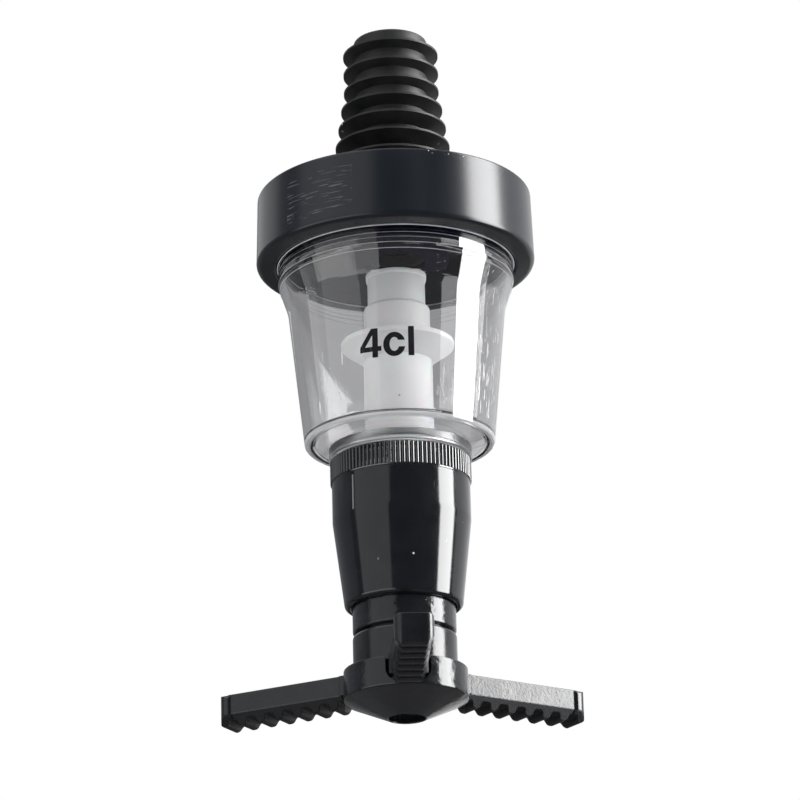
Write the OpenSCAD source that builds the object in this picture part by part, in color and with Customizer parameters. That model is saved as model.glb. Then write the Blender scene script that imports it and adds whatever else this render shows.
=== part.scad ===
// Push-up bar measure: it plugs into an upturned bottle and pours one measure
// when a glass lifts its three arms. Lengths are millimetres.
// The origin is the centre of the lid's top face, with +Z towards the bottle.
// At rest the spring holds the plunger down, the inlet open and the outlet shut.

/* [Cork] */
// Height of the cork above the lid
cork_h = 35.7; // [25:0.1:50]
// Radius of the cork's core
cork_core_r = 7.7; // [7:0.05:8.5]
// Plain length above the first fin
cork_cap_h = 3.5; // [2:0.1:6]
// Rounding of the cork's top edge
cork_edge_r = 0.6; // [0.2:0.05:1.2]
// Number of sealing fins
fin_count = 7; // [3:1:8]
// Distance from one fin to the next
fin_pitch = 4.18; // [3:0.02:4.3]
// Radius of the slim upper fins
fin_r = 9.93; // [9:0.01:11]
// Number of slim upper fins
even_fins = 3; // [1:1:7]
// Growth in radius of each lower fin
fin_step = 0.65; // [0:0.05:0.9]
// Thickness of a fin at its edge
fin_edge_t = 0.45; // [0.3:0.05:0.8]
// Rise of a fin's underside for each unit of its reach
fin_slope_share = 0.4; // [0:0.05:0.5]
// Radius of the foot that the lid holds
cork_foot_r = 12.6; // [11:0.1:14]
// Thickness of the foot
cork_foot_h = 2; // [1.2:0.1:3]

/* [Lid] */
// Thickness of the lid's side at its foot
lid_side_t = 4.18; // [2.6:0.02:5]
// Spread of the lid's side from the top edge to the foot
lid_flare = 0.42; // [0.1:0.02:1]
// Height of the lid's side
lid_side_h = 14.8; // [12:0.1:16]
// Fall of the lid's underside from the side to the bowl
lid_lip_h = 0.4; // [0.1:0.1:1]
// Thickness of the lid's top
lid_plate_t = 3; // [2.4:0.1:4]
// Rounding of the lid's top edge
lid_edge_r = 0.5; // [0.2:0.05:1]
// Depth of the seat for the cork's foot
lid_seat_d = 1; // [0.5:0.1:1.5]
// Rounding of the lid's lower outer edge
lid_foot_r = 1; // [0.3:0.05:1.4]
// Rounding of the lid's lower inner edge
lid_lip_r = 0.55; // [0.2:0.05:0.6]

/* [Spigot] */
// Outer radius of the spigot inside the cork
spigot_r = 5.4; // [5:0.05:5.8]
// Radius of the liquid way through the spigot
spigot_bore_r = 4.3; // [3:0.05:4.6]
// Height of the spigot above the lid
spigot_h = 26; // [15:0.5:30]
// Number of barbs on the spigot
barb_count = 3; // [1:1:5]
// Height of one barb
barb_h = 2.4; // [1.5:0.1:4]
// Reach of one barb
barb_w = 0.5; // [0.2:0.05:0.8]

/* [Inlet valve] */
// Outer radius of the boss that holds the inlet seal
boss_r = 9.6; // [9:0.1:11]
// Length of the boss below the lid's plate
boss_h = 9.8; // [9:0.1:10.4]
// Height of the inlet seal
inlet_seal_h = 2.8; // [2:0.1:4]
// Radius of the seat round the inlet seal
inlet_seat_r = 7.75; // [7.4:0.05:8.4]
// Thickness of the retainer's face
retainer_t = 1.5; // [1:0.1:1.8]
// Wall of the retainer's skirt
retainer_wall = 1.3; // [1:0.1:2]
// Height of the retainer's skirt
retainer_h = 5.2; // [3:0.1:7]
// Share of the seal's width that the boss covers on top
boss_cover_share = 0.6; // [0.4:0.05:0.8]

/* [Bowl] */
// Thickness of the lid gasket
gasket_t = 1.5; // [0.8:0.1:2.2]
// Wall of the bowl
bowl_wall = 1.6; // [1.2:0.1:2.2]
// Step from the lid's inner side to the bowl below it
bowl_step_w = 0.3; // [0.2:0.05:1.5]
// Length of the screwed band inside the lid
bowl_band_h = 8; // [6:0.1:8.8]
// Depth below the lid's top where the shoulder starts
shoulder_top_d = 18.7; // [17.5:0.1:20]
// Height of the sloping shoulder
shoulder_h = 5.9; // [4:0.1:8]
// Width of the shoulder
shoulder_w = 1.9; // [1:0.05:3]
// Depth below the lid's top where the bowl's wall ends
bowl_wall_d = 53.15; // [46:0.05:60]
// Narrowing of the wall from the shoulder to its foot
bowl_taper_w = 3; // [1:0.05:5]
// Height of the bowl's rounded lower edge
bowl_edge_h = 0.6; // [0.4:0.05:1.2]
// Width of the flat rim from that edge to the funnel
bowl_rim_w = 1.7; // [1:0.05:3]
// Width of the funnel from that rim to the neck
funnel_w = 3.05; // [1.5:0.05:5]
// Radius of the neck under the bowl
neck_r = 14.55; // [13:0.05:17]
// Height of the funnel
funnel_h = 1; // [0.6:0.05:2.2]
// Height of the neck
neck_h = 2.35; // [1.8:0.05:3.5]
// Height of the raised lip at the foot of the neck
neck_lip_h = 0.7; // [0.4:0.05:1]
// Radius of the screwed tail under the neck
tail_r = 11.6; // [11.3:0.05:12]
// Length of the tail
tail_h = 8.9; // [7:0.1:11]

/* [Outlet valve] */
// Depth of the seal's ledge below the neck
ledge_d = 0.3; // [0.1:0.05:0.8]
// Radius of the throat above the outlet seal
throat_r = 8.6; // [8:0.05:9]
// Radius of the pocket for the outlet seal
pocket_r = 9.4; // [9.2:0.05:9.8]
// Height of the outlet seal
outlet_seal_h = 2.95; // [2:0.05:3.2]
// Height of the ring that holds the outlet seal
outlet_ring_h = 3; // [2:0.05:3.6]

/* [Knurled ring] */
// Outer radius of the ring
ring_r = 14.3; // [14.1:0.05:15]
// Height of the ring
ring_h = 5.05; // [4:0.05:6.2]
// Number of flutes
flute_count = 96; // [48:2:120]
// Depth of a flute
flute_d = 0.34; // [0.15:0.01:0.5]
// Plain rim above and below the flutes
ring_rim_h = 0.3; // [0.1:0.05:0.8]

/* [Spring housing] */
// Radius of the housing's straight part
housing_r = 14; // [13.6:0.05:14.3]
// Height of the straight part
housing_straight_h = 7.9; // [5:0.1:10]
// Radius at the foot of the housing
housing_foot_r = 11.85; // [11.7:0.05:12.5]
// Height of the tapered part
housing_taper_h = 18; // [14:0.1:20]
// Rounding of the housing's lower edge
housing_edge_r = 0.85; // [0.3:0.05:0.9]
// Radius of the bore that guides the sleeve
guide_r = 11.1; // [11:0.05:11.2]
// Thickness of the inner lip that stops the sleeve
stop_lip_h = 1.3; // [1:0.1:2]

/* [Slide sleeve] */
// Radius of the visible upper sleeve
sleeve_r = 10.38; // [10.2:0.02:10.4]
// Radius of the sleeve's bore
sleeve_bore_r = 8.95; // [8.8:0.05:9.1]
// Length of the sleeve that shows below the housing
sleeve_out_h = 5.4; // [4:0.1:7]
// Height of the guided skirt inside the housing
skirt_h = 8.8; // [6:0.1:9.4]
// Thickness of the sleeve's floor
sleeve_floor_t = 1.5; // [1:0.1:2]
// Rounding of the sleeve's lower edge
sleeve_edge_r = 0.5; // [0.1:0.05:0.7]

/* [Spring] */
// Wire radius of the return spring
wire_r = 0.45; // [0.35:0.05:0.5]
// Mean radius of the return spring
spring_r = 8.1; // [8.05:0.05:8.15]
// Open turns of the spring
open_turns = 7; // [5:1:8]
// Pitch of the closed turn at each end
end_pitch = 1.45; // [1.4:0.05:1.6]
// Thickness of the thrust washer under the spring
washer_t = 0.6; // [0.4:0.05:1]

/* [Stem] */
// Length that the plunger travels
travel = 9.5; // [8:0.1:11]
// Gap between the stem's collar and the retainer at the end of the travel
end_gap = 0.5; // [0.2:0.05:1]
// Outer radius of the stem
stem_r = 7.04; // [6.8:0.02:7.1]
// Bore radius of the stem
stem_bore_r = 5.05; // [4.8:0.05:5.3]
// Outer radius of the stem's tail in the head
stem_tail_r = 5.4; // [5.2:0.05:5.6]
// Bore radius of the stem's tail
stem_tail_bore_r = 3.9; // [3.4:0.05:4.1]
// Number of outlet ports
port_count = 4; // [2:1:4]
// Width of an outlet port
port_w = 4.4; // [2:0.1:5]
// Height of an outlet port
port_h = 4.5; // [3:0.1:4.8]
// Depth of the outlet ports below the outlet seal's foot
port_d = 2.2; // [1.6:0.1:3]
// Gap between the retainer and the stem's top at rest
inlet_gap = 3; // [2:0.1:4]
// Radius of the lip at the stem's top
piston_lip_r = 6.17; // [6:0.01:6.3]
// Height of that lip
piston_lip_h = 1.3; // [0.8:0.1:2]
// Radius of the stem's upper tube
piston_r = 5.9; // [5.7:0.05:6.05]
// Wall of the upper tube
piston_wall = 1.25; // [0.8:0.05:2]
// Radius of the collar under it
collar_r = 6.79; // [6.4:0.01:7]
// Height of the collar
collar_h = 7.5; // [5:0.1:9]
// Rounding of the collar's shoulder
collar_edge_r = 0.7; // [0.2:0.05:0.8]
// Length of the spigot that joins the piston to the stem
joint_h = 10; // [7:0.1:14]
// Outer radius of the vent tube
vent_r = 1.6; // [1.2:0.05:1.9]
// Bore radius of the vent tube
vent_bore_r = 1; // [0.6:0.05:1.2]
// Distance of the vent tube's end above the spout's mouth
vent_end_h = 5; // [3:0.1:8]

/* [Baffle disc] */
// Radius of the disc
disc_r = 11.55; // [10:0.05:13]
// Thickness of the disc at its edge
disc_t = 1.05; // [0.8:0.05:1.6]
// Height of the cone under the disc
disc_cone_h = 3.2; // [2:0.1:4.5]

/* [Head] */
// Radius of the head's neck below the joint
head_neck_r = 10.43; // [10.2:0.01:10.45]
// Height of the head's neck
head_neck_h = 7.5; // [6.5:0.1:9]
// Rounding of the neck's upper edge
head_neck_edge_r = 0.7; // [0.2:0.05:0.9]
// Height of the groove between the sleeve and the neck
groove_h = 0.4; // [0.2:0.05:0.8]
// Depth of that groove
groove_d = 0.9; // [0.4:0.05:1.2]
// Radius of the cap's upper edge
cap_top_r = 12.39; // [12.3:0.01:13]
// Radius of the cap's lower rim
cap_low_r = 12.58; // [12.4:0.01:13.2]
// Height of the cap's side
cap_side_h = 6.05; // [5.6:0.05:6.6]
// Height of the cone under the cap
cap_cone_h = 3.93; // [3.4:0.05:5]
// Wall of the cap
cap_wall = 1.4; // [1:0.05:1.4]
// Rounding of the cap's lower rim
cap_rim_r = 0.5; // [0.2:0.05:0.8]
// Wall of the boss inside the cap, and its height above the slots' foot
cap_boss_t = 1.9; // [1.2:0.05:2.2]
// Radius of the spout's mouth
mouth_r = 3.7; // [3:0.05:3.9]
// Length of the spout's bore
mouth_h = 2.88; // [2:0.02:3.4]
// Width of the slot round each arm
slot_w = 8.9; // [8.2:0.05:9.5]
// Depth of that slot
slot_d = 5.2; // [4.9:0.05:5.4]
// Rounding of the slot's lower corners
slot_edge_r = 2.4; // [1:0.1:3]
// Radius of the section of the O-ring in the cap
o_ring_r = 0.6; // [0.4:0.05:0.65]

/* [Arms] */
// Number of arms
arm_count = 3; // [2:1:4]
// Radius of the arms' tips
arm_r = 41.1; // [34:0.1:50]
// Width of an arm's bar
bar_w = 7; // [6:0.1:7.4]
// Height of an arm's bar
bar_h = 4; // [3:0.05:4.2]
// Width of the keel at the tips of its teeth
keel_w = 4.7; // [3.4:0.1:6]
// Height of the keel above the teeth
keel_h = 1; // [0.8:0.05:1.6]
// Width of the end plate
plate_w = 7.7; // [7:0.1:8.1]
// Thickness of the end plate
plate_t = 2.3; // [1.8:0.1:3]
// Height of the end plate's wide part
plate_h = 4.25; // [3.6:0.05:5.4]
// Rounding of the end plate's upright edges
plate_edge_r = 1.9; // [0.4:0.1:2]
// Rounding of the end plate's upper corners
plate_corner_r = 0.8; // [0.2:0.1:1.2]
// Length over which the bar widens to the end plate
plate_rise = 0.7; // [0.3:0.1:1.5]
// Reach of the arm's root block past the cap
root_reach = 0.5; // [0.3:0.05:1]
// Number of teeth between the hub and the wide end tooth
tooth_count = 6; // [4:1:6]
// Gap between the hub and the first tooth
tooth_gap = 1.15; // [0.6:0.05:1.6]
// Width of a tooth at its root
tooth_w = 2.3; // [1.8:0.05:2.7]
// Depth of the teeth
tooth_d = 1.4; // [1:0.05:2]
// Width of the end tooth at its root
end_tooth_w = 2; // [1.9:0.05:3]
// Rounding of the arm's lower outer corner
toe_r = 1.05; // [0.5:0.05:1.05]

/* [Fits] */
// Radial clearance of running and seated round fits
run_gap = 0.05; // [0.02:0.01:0.1]
// Gap between faces that seat on each other
seat_gap = 0.04; // [0.02:0.01:0.1]
// Gap between the sleeve and the housing's stop lip
stop_gap = 0.22; // [0.15:0.01:0.3]

/* [Hidden] */
$fn = 96;

// Overrun of cuts
over = 1;
// Segments in a rounded corner
corner_steps = 5;
// Rings in one turn of the spring, and sides of its wire
turn_rings = 8;
wire_sides = 6;

// Heights from the lid down, along the axis
plate_low_z = -lid_plate_t;
lid_low_z = -lid_side_h - lid_lip_h;
bowl_rim_z = plate_low_z - gasket_t;
boss_low_z = plate_low_z - boss_h;
retainer_low_z = boss_low_z - seat_gap - retainer_t;
piston_top_z = retainer_low_z - inlet_gap;
piston_h = travel + end_gap - inlet_gap;
collar_top_z = piston_top_z - piston_h;
disc_top_z = collar_top_z - collar_h - seat_gap;
disc_low_z = disc_top_z - disc_t - disc_cone_h;
stem_top_z = disc_low_z - seat_gap;
bowl_low_z = -bowl_wall_d - bowl_edge_h;
funnel_low_z = bowl_low_z - funnel_h;
neck_low_z = funnel_low_z - neck_h;
tail_low_z = neck_low_z - tail_h;
ring_top_z = neck_low_z - seat_gap;
ring_low_z = ring_top_z - ring_h;
housing_top_z = ring_low_z - seat_gap;
taper_top_z = housing_top_z - housing_straight_h;
housing_low_z = taper_top_z - housing_taper_h;
stop_z = housing_low_z + stop_lip_h;
skirt_low_z = stop_z + seat_gap;
skirt_top_z = skirt_low_z + skirt_h;
sleeve_low_z = housing_low_z - sleeve_out_h;
sleeve_floor_z = sleeve_low_z + sleeve_floor_t;
washer_low_z = sleeve_floor_z + seat_gap;
washer_top_z = washer_low_z + washer_t;
neck_top_z = sleeve_low_z - seat_gap;
cap_top_z = neck_top_z - head_neck_h;
cap_rim_z = cap_top_z - cap_side_h;
mouth_z = cap_rim_z - cap_cone_h;
socket_z = mouth_z + mouth_h;
tail_end_z = socket_z + 2 * o_ring_r + 2 * seat_gap;

// Outlet valve: the seal hangs under the throat's ledge, the ring under the seal
ledge_z = neck_low_z - ledge_d;
seal_top_z = ledge_z - seat_gap;
seal_low_z = seal_top_z - outlet_seal_h;
outlet_ring_top_z = seal_low_z - seat_gap;
outlet_ring_low_z = outlet_ring_top_z - outlet_ring_h;
port_top_z = seal_low_z - port_d;
spring_top_z = outlet_ring_low_z - seat_gap;
spring_low_z = washer_top_z + seat_gap;

// Radii that follow others
cork_bore_r = spigot_r + run_gap;
cork_seat_r = cork_foot_r + run_gap;
funnel_r = neck_r + funnel_w;
bowl_foot_r = funnel_r + bowl_rim_w;
bowl_waist_r = bowl_foot_r + bowl_taper_w;
bowl_exit_r = bowl_waist_r + shoulder_w;
lid_mouth_r = bowl_exit_r + bowl_step_w;
lid_low_r = lid_mouth_r + lid_side_t;
lid_top_r = lid_low_r - lid_flare;
band_r = lid_mouth_r - run_gap;
band_low_z = bowl_rim_z - bowl_band_h;
bowl_in_r = bowl_exit_r - bowl_wall;
lip_way_r = piston_lip_r + run_gap;
boss_bore_r = inlet_seat_r - boss_cover_share * (inlet_seat_r - lip_way_r);
retainer_in_r = boss_r + run_gap;
ring_bore_r = tail_r + run_gap;
skirt_r = guide_r - run_gap;
stop_r = sleeve_r + stop_gap;
stem_way_r = stem_r + run_gap;
socket_r = stem_tail_r + run_gap;
cap_in_r = cap_top_r - cap_wall;
flange_r = cap_in_r - run_gap;

// A unit vector, and the angle of a vector
function unit(v) = v / norm(v);
function bearing(v) = atan2(v.y, v.x);

// The arc that rounds the corner b between a and c
function corner_arc(a, b, c, r) =
    let (u = unit(a - b))
    let (v = unit(c - b))
    let (half = acos(u * v) / 2)
    let (centre = b + unit(u + v) * r / sin(half))
    let (start = bearing(b + u * r / tan(half) - centre))
    let (finish = bearing(b + v * r / tan(half) - centre))
    let (turn = finish - start)
    let (sweep = turn > 180 ? turn - 360 : turn < -180 ? turn + 360 : turn)
    [for (k = [0 : corner_steps])
        centre + r * [cos(start + sweep * k / corner_steps), sin(start + sweep * k / corner_steps)]];

// An outline from corners [x, y, rounding]
function outline(p) = [for (i = [0 : len(p) - 1])
    let (n = len(p))
    let (a = p[(i + n - 1) % n])
    let (b = p[i])
    let (c = p[(i + 1) % n])
    each b[2] > 0 ? corner_arc([a.x, a.y], [b.x, b.y], [c.x, c.y], b[2]) : [[b.x, b.y]]];

// A solid turned from an outline of corners [radius, height, rounding]
module turned(p) {
    rotate_extrude()
        polygon(outline(p));
}

// A plain ring
module ring(outer_r, inner_r, low_z, high_z) {
    turned([[inner_r, low_z, 0], [outer_r, low_z, 0], [outer_r, high_z, 0], [inner_r, high_z, 0]]);
}

// Cork: radius and height of fin i, counted from the top
function fin_outer(i) = fin_r + max(0, i + 1 - even_fins) * fin_step;
function fin_low(i) = cork_h - cork_cap_h - i * fin_pitch;
function fin_drop(i) = (fin_outer(i) - cork_core_r) * fin_slope_share;
function fin_points(i) = [
    [cork_core_r, fin_low(i) + fin_edge_t + fin_drop(i) / 3],
    [fin_outer(i), fin_low(i) + fin_edge_t],
    [fin_outer(i), fin_low(i)],
    [cork_core_r, fin_low(i) - fin_drop(i)]];

// Spigot: barb i, counted from the top, as it stands out by reach
function barb_low(i) = spigot_h - (i + 1) * spigot_h / (barb_count + 1);
function barb_points(i, r, reach) = [[r, barb_low(i) + barb_h], [r + reach, barb_low(i)], [r, barb_low(i)]];

// Cork: ribbed rubber stopper with a foot that sits in the lid
module bottle_cork() {
    color("#202123")
    difference() {
        union() {
            turned([[0, -lid_seat_d + seat_gap, 0], [cork_foot_r, -lid_seat_d + seat_gap, 0],
                [cork_foot_r, cork_foot_h - lid_seat_d, cork_edge_r],
                [cork_core_r, cork_foot_h - lid_seat_d, 0],
                [cork_core_r, cork_h, cork_edge_r], [0, cork_h, 0]]);
            for (i = [0 : fin_count - 1])
                rotate_extrude()
                    polygon(concat([[cork_bore_r, fin_low(i)]], fin_points(i)));
        }
        translate([0, 0, -lid_seat_d - over])
            cylinder(h = lid_seat_d + over + spigot_h + seat_gap, r = cork_bore_r);
        cylinder(h = cork_h + over, r = spigot_bore_r);
        for (i = [0 : barb_count - 1])
            rotate_extrude()
                polygon(barb_points(i, cork_bore_r - run_gap, barb_w + 2 * run_gap));
    }
}

// Lid: screw collar with the spigot above and the inlet boss below
module lid() {
    color("#26282b")
    union() {
        difference() {
            turned([[spigot_bore_r, plate_low_z, 0], [lid_mouth_r, plate_low_z, 0],
                [lid_mouth_r, lid_low_z, lid_lip_r], [lid_low_r, -lid_side_h, lid_foot_r],
                [lid_top_r, 0, lid_edge_r], [spigot_bore_r, 0, 0]]);
            ring(cork_seat_r, 0, -lid_seat_d, over);
        }
        ring(spigot_r, spigot_bore_r, plate_low_z, spigot_h);
        for (i = [0 : barb_count - 1])
            rotate_extrude()
                polygon(barb_points(i, spigot_r, barb_w));
        difference() {
            ring(boss_r, boss_bore_r, boss_low_z, plate_low_z);
            ring(inlet_seat_r, 0, boss_low_z - over, boss_low_z + inlet_seal_h + seat_gap);
        }
    }
}

// Gasket: flat ring between the lid's top and the bowl's rim
module lid_gasket() {
    color("#3a3a3a")
    ring(band_r - run_gap, bowl_in_r, bowl_rim_z + seat_gap, plate_low_z - seat_gap);
}

// Inlet seal: ring with a lip that the stem's top slides into
module inlet_seal() {
    low = boss_low_z + seat_gap;
    high = boss_low_z + inlet_seal_h;
    body_r = inlet_seat_r - run_gap;
    lip_w = (body_r - lip_way_r) / 3;
    color("#c9cdd0")
    turned([[lip_way_r, low, lip_w], [body_r, low, 0], [body_r, high, 0], [body_r - lip_w, high, 0],
        [body_r - lip_w, (low + high) / 2, 0], [lip_way_r + lip_w, (low + high) / 2, 0],
        [lip_way_r + lip_w, high, 0], [lip_way_r, high, 0]]);
}

// Retainer: cap that snaps over the boss and holds the inlet seal
module inlet_seal_retainer() {
    skirt_outer_r = retainer_in_r + retainer_wall;
    color("#202123")
    turned([[lip_way_r + run_gap, retainer_low_z, 0], [skirt_outer_r, retainer_low_z, retainer_wall / 2],
        [skirt_outer_r, retainer_low_z + retainer_h, 0], [retainer_in_r, retainer_low_z + retainer_h, 0],
        [retainer_in_r, retainer_low_z + retainer_t, 0],
        [lip_way_r + run_gap, retainer_low_z + retainer_t, 0]]);
}

// Bowl: clear measure with a shoulder, a taper, a funnel floor and a screwed tail
module measuring_bowl() {
    floor_z = bowl_low_z + bowl_wall;
    waist_z = -shoulder_top_d - shoulder_h;
    funnel_in_r = funnel_r - bowl_wall / 2;
    throat_z = floor_z - (funnel_in_r - throat_r) * funnel_h / (funnel_r - neck_r);
    lip_w = neck_lip_h / 2;
    color([0.82, 0.83, 0.88, 0.45])
    difference() {
        turned([[0, bowl_rim_z, 0], [0, tail_low_z, 0], [tail_r, tail_low_z, 0], [tail_r, neck_low_z, 0],
            [neck_r, neck_low_z, lip_w], [neck_r, neck_low_z + neck_lip_h, 0],
            [neck_r - lip_w, neck_low_z + neck_lip_h + lip_w, 0], [neck_r, funnel_low_z, 0],
            [funnel_r, bowl_low_z, 0], [bowl_foot_r, bowl_low_z, bowl_edge_h],
            [bowl_waist_r, waist_z, bowl_waist_r / 2], [bowl_exit_r, -shoulder_top_d, 0],
            [bowl_exit_r, band_low_z, 0], [band_r, band_low_z, 0], [band_r, bowl_rim_z, 0]]);
        turned([[0, bowl_rim_z + over, 0], [0, ledge_z - over, 0], [throat_r, ledge_z - over, 0],
            [throat_r, throat_z, 0], [funnel_in_r, floor_z, 0],
            [bowl_foot_r - bowl_wall, floor_z, bowl_edge_h],
            [bowl_waist_r - bowl_wall, waist_z, bowl_waist_r / 2], [bowl_in_r, -shoulder_top_d, 0],
            [bowl_in_r, bowl_rim_z + over, 0]]);
        translate([0, 0, tail_low_z - over])
            cylinder(h = ledge_z - tail_low_z + over, r = pocket_r);
    }
}

// Outlet seal: ring with an open groove, round the stem under the throat
module outlet_seal() {
    body_r = pocket_r - run_gap;
    lip_w = (body_r - stem_way_r) / 3;
    color("#c9cdd0")
    turned([[stem_way_r, seal_low_z, 0], [body_r, seal_low_z, 0], [body_r, seal_top_z, 0],
        [body_r - lip_w, seal_top_z, 0], [body_r - lip_w, (seal_low_z + seal_top_z) / 2, 0],
        [stem_way_r + lip_w, (seal_low_z + seal_top_z) / 2, 0], [stem_way_r + lip_w, seal_top_z, 0],
        [stem_way_r, seal_top_z, 0]]);
}

// Outlet retainer: ring pressed in under the outlet seal, with the spring's upper seat
module outlet_seal_retainer() {
    color("#202123")
    turned([[stem_way_r + run_gap, outlet_ring_low_z, 0], [pocket_r - run_gap, outlet_ring_low_z, 0],
        [pocket_r - run_gap, outlet_ring_top_z, 0], [stem_way_r + run_gap, outlet_ring_top_z, 0]]);
}

// Knurled ring: fluted nut on the bowl's tail
module knurled_ring() {
    crest_share = 0.46;
    root_share = 0.3;
    slope_share = (1 - crest_share - root_share) / 2;
    core_r = ring_r - flute_d;
    flute_edges = [for (i = [0 : flute_count - 1])
        each [[i, core_r], [i + root_share, core_r], [i + root_share + slope_share, ring_r],
            [i + root_share + slope_share + crest_share, ring_r]]];
    color("#1a1b1d")
    difference() {
        union() {
            ring(core_r, ring_bore_r, ring_low_z, ring_top_z);
            translate([0, 0, ring_low_z + ring_rim_h])
                linear_extrude(ring_h - 2 * ring_rim_h)
                    polygon([for (e = flute_edges)
                        e[1] * [cos(360 * e[0] / flute_count), sin(360 * e[0] / flute_count)]]);
        }
        translate([0, 0, ring_low_z - over])
            cylinder(h = ring_h + 2 * over, r = ring_bore_r);
    }
}

// Housing: tapered tube that guides the sleeve and stops it at its lower lip
module spring_housing() {
    color("#1a1b1d")
    turned([[ring_bore_r, housing_top_z, 0], [ring_bore_r, tail_low_z - seat_gap, 0],
        [guide_r, tail_low_z - seat_gap, 0], [guide_r, stop_z, 0], [stop_r, stop_z, 0],
        [stop_r, housing_low_z, stop_gap], [housing_foot_r, housing_low_z, housing_edge_r],
        [housing_r, taper_top_z, housing_r / 2], [housing_r, housing_top_z, 0]]);
}

// Spring: height of the wire's centre after t turns
spring_turns = open_turns + 2;
spring_span = spring_top_z - spring_low_z - 2 * wire_r;
open_pitch = (spring_span - 2 * end_pitch) / open_turns;
function wire_z(t) = spring_low_z + wire_r + (t < 1 ? t * end_pitch
    : t > spring_turns - 1 ? spring_span - (spring_turns - t) * end_pitch
    : end_pitch + (t - 1) * open_pitch);
function wire_point(t, side) =
    let (r = spring_r + wire_r * cos(360 * side / wire_sides))
    [r * cos(360 * t), r * sin(360 * t), wire_z(t) + wire_r * sin(360 * side / wire_sides)];
echo(least_gap_between_turns = end_pitch - 2 * wire_r, open_pitch = open_pitch);

// Return spring: one unbroken wire with a closed turn at each end
module return_spring() {
    rings = spring_turns * turn_rings;
    points = [for (k = [0 : rings]) each [for (s = [0 : wire_sides - 1]) wire_point(k / turn_rings, s)]];
    sides = [for (k = [0 : rings - 1]) each [for (s = [0 : wire_sides - 1])
        let (a = k * wire_sides + s)
        let (b = k * wire_sides + (s + 1) % wire_sides)
        each [[a, a + wire_sides, b + wire_sides], [a, b + wire_sides, b]]]];
    first_end = [for (s = [1 : wire_sides - 2]) [0, s, s + 1]];
    last = rings * wire_sides;
    last_end = [for (s = [1 : wire_sides - 2]) [last, last + s + 1, last + s]];
    color("#b8bcc0")
    polyhedron(points, concat(sides, first_end, last_end));
}

// Thrust washer: the spring stands on it, and the plunger can turn under it
module thrust_washer() {
    color("#d0d3d6")
    ring(sleeve_bore_r - 3 * run_gap, stem_way_r + 2 * run_gap, washer_low_z, washer_top_z);
}

// Slide sleeve: cup that rides in the housing and carries the spring
module slide_sleeve() {
    color("#1a1b1d")
    turned([[socket_r, sleeve_low_z, 0], [sleeve_r, sleeve_low_z, sleeve_edge_r],
        [sleeve_r, skirt_low_z, 0], [skirt_r, skirt_low_z, 0], [skirt_r, skirt_top_z, stop_gap],
        [sleeve_bore_r, skirt_top_z, 0], [sleeve_bore_r, sleeve_floor_z, 0], [socket_r, sleeve_floor_z, 0]]);
}

// Stem: white tube with the outlet ports, and a tail that holds the head
module valve_stem() {
    shoulder_z = sleeve_floor_z + seat_gap;
    color("#f0f0ee")
    difference() {
        turned([[stem_tail_bore_r, tail_end_z, 0], [stem_tail_r, tail_end_z, 0],
            [stem_tail_r, shoulder_z, 0], [stem_r, shoulder_z, 0], [stem_r, stem_top_z, 0],
            [stem_bore_r, stem_top_z, 0], [stem_bore_r, shoulder_z + stem_bore_r, 0],
            [stem_tail_bore_r, shoulder_z + stem_bore_r / 2, 0]]);
        for (i = [0 : port_count - 1])
            rotate([0, 0, 360 * (i + 1 / 2) / port_count])
                translate([0, 0, port_top_z - port_h / 2])
                    rotate([0, 90, 0])
                        port_cut();
    }
}

// Port: slot with round ends, cut outwards through the stem's wall
module port_cut() {
    half = (port_h - port_w) / 2;
    for (end = [-half, half])
        translate([end, 0, 0])
            cylinder(h = stem_r + over, r = port_w / 2);
    translate([-half, -port_w / 2, 0])
        cube([2 * half, port_w, stem_r + over]);
}

// Inlet piston: white tube with a sealing lip, a collar and a joint spigot
module inlet_piston() {
    joint_r = stem_bore_r - run_gap;
    cup_r = piston_r - piston_wall;
    cup_z = collar_top_z + piston_lip_h;
    chamber_r = vent_r * 3 / 2;
    chamber_top_z = collar_top_z - piston_lip_h;
    chamber_low_z = collar_top_z - collar_h * 3 / 4;
    joint_low_z = disc_top_z - joint_h;
    color("#f2f2f0")
    difference() {
        turned([[vent_r + run_gap, joint_low_z, 0], [joint_r, joint_low_z, 0],
            [joint_r, disc_top_z + seat_gap, 0], [collar_r, disc_top_z + seat_gap, 0],
            [collar_r, collar_top_z, collar_edge_r], [piston_r, collar_top_z, 0],
            [piston_r, piston_top_z - piston_lip_h, 0],
            [piston_lip_r, piston_top_z - piston_lip_h * 3 / 4, 0],
            [piston_lip_r, piston_top_z, piston_lip_h / 4], [cup_r, piston_top_z, 0], [cup_r, cup_z, 0],
            [0, cup_z, 0], [0, chamber_top_z, 0], [chamber_r, chamber_top_z, 0],
            [chamber_r, chamber_low_z, 0], [vent_r + run_gap, chamber_low_z, 0]]);
        translate([0, 0, (chamber_top_z + chamber_low_z) / 2])
            rotate([0, 90, 0])
                cylinder(h = 2 * (collar_r + over), r = vent_bore_r, center = true);
    }
}

// Baffle disc: thin disc on a cone, held between the collar and the stem
module baffle_disc() {
    bore_r = stem_bore_r;
    color("#f2f2f0")
    turned([[bore_r, disc_low_z, 0], [stem_r, disc_low_z, 0], [disc_r, disc_top_z - disc_t, disc_t / 4],
        [disc_r, disc_top_z, disc_t / 4], [bore_r, disc_top_z, 0]]);
}

// Vent tube: thin tube that lets air up into the bowl
module vent_tube() {
    color("#d8dadc")
    ring(vent_r, vent_bore_r, mouth_z + vent_end_h, collar_top_z - collar_h * 3 / 4 + vent_r / 2);
}

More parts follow.
